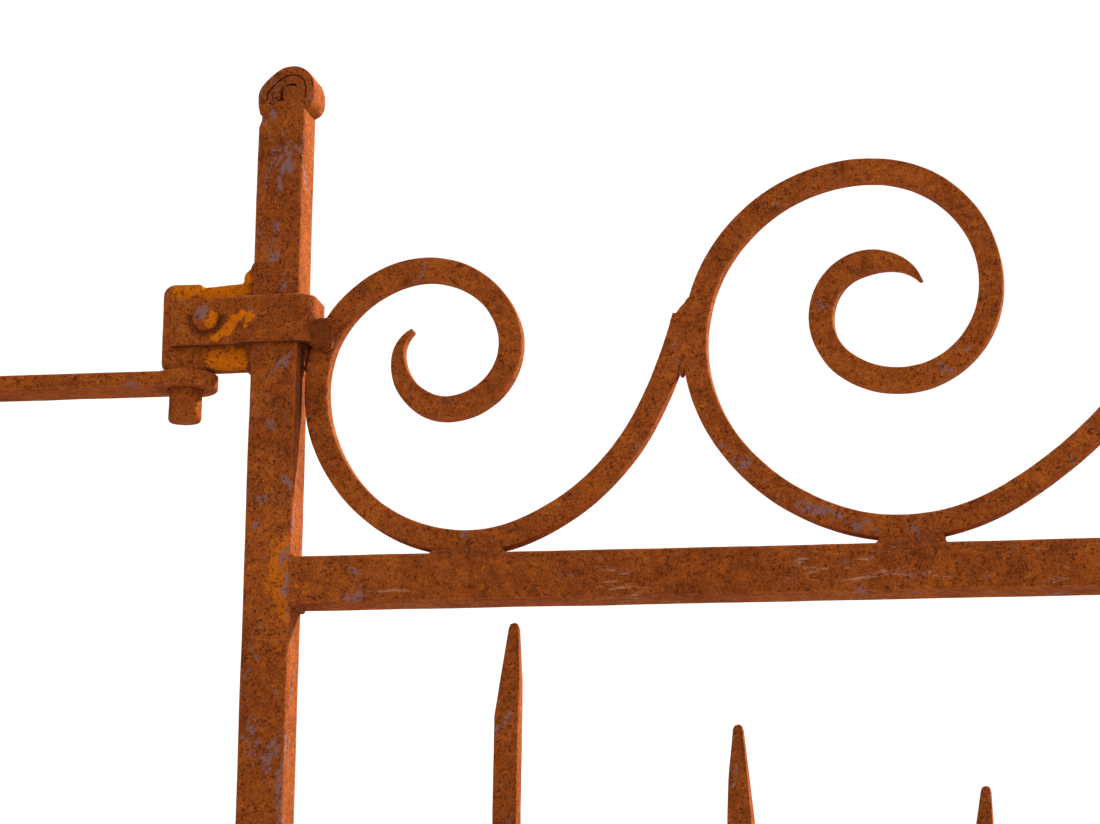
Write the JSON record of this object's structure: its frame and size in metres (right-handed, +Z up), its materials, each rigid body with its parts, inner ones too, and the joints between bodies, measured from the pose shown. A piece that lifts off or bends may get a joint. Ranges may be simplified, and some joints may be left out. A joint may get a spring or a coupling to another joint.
{
  "type": "double-leaf wrought iron driveway gate",
  "caption": "Rusted wrought iron driveway gate: a pair of scroll-topped leaves with spiked pickets, hung on square posts by strap and pin hinges.",
  "frame": {"origin": "middle of the left post's flat foot, at ground level", "axes": "+X along the gate from the left post to the right post, -Y to the street, +Y to the drive that the leaves open into, +Z up"},
  "size_m": [3.908, 0.08, 2.327],
  "materials": {
    "bar_iron": "matt rust",
    "scroll_iron": "matt rust",
    "hinge_iron": "matt rust",
    "bolt_iron": "matt rust",
    "post_iron": "matt rust"
  },
  "bodies": {
    "posts": {"left_post": "post_iron", "right_post": "post_iron", "left_top_eye": "hinge_iron", "left_bottom_eye": "hinge_iron", "right_top_eye": "hinge_iron", "right_bottom_eye": "hinge_iron"},
    "left_leaf": {"left_hinge_stile": "bar_iron", "left_meeting_stile": "bar_iron", "left_top_rail": "bar_iron", "left_middle_rail": "bar_iron", "left_bottom_rail": "bar_iron", "left_pickets": "bar_iron", "left_hinge_small_scroll": "scroll_iron", "left_hinge_large_scroll": "scroll_iron", "left_meeting_large_scroll": "scroll_iron", "left_meeting_small_scroll": "scroll_iron", "left_top_hinge_strap": "hinge_iron", "left_bottom_hinge_strap": "hinge_iron", "left_top_hinge_pin": "hinge_iron", "left_bottom_hinge_pin": "hinge_iron", "left_top_hinge_bolt": "bolt_iron", "left_bottom_hinge_bolt": "bolt_iron"},
    "right_leaf": {"right_hinge_stile": "bar_iron", "right_meeting_stile": "bar_iron", "right_top_rail": "bar_iron", "right_middle_rail": "bar_iron", "right_bottom_rail": "bar_iron", "right_pickets": "bar_iron", "right_hinge_small_scroll": "scroll_iron", "right_hinge_large_scroll": "scroll_iron", "right_meeting_large_scroll": "scroll_iron", "right_meeting_small_scroll": "scroll_iron", "right_top_hinge_strap": "hinge_iron", "right_bottom_hinge_strap": "hinge_iron", "right_top_hinge_pin": "hinge_iron", "right_bottom_hinge_pin": "hinge_iron", "right_top_hinge_bolt": "bolt_iron", "right_bottom_hinge_bolt": "bolt_iron"}
  },
  "joints": [
    {"name": "left_swing", "type": "hinge", "parent": "posts", "child": "left_leaf", "pos_m": [0.24, 0, 0], "axis": [0, 0, 1], "range_deg": [0, 100]},
    {"name": "right_swing", "type": "hinge", "parent": "posts", "child": "right_leaf", "pos_m": [3.588, 0, 0], "axis": [0, 0, -1], "range_deg": [0, 100]}
  ]
}
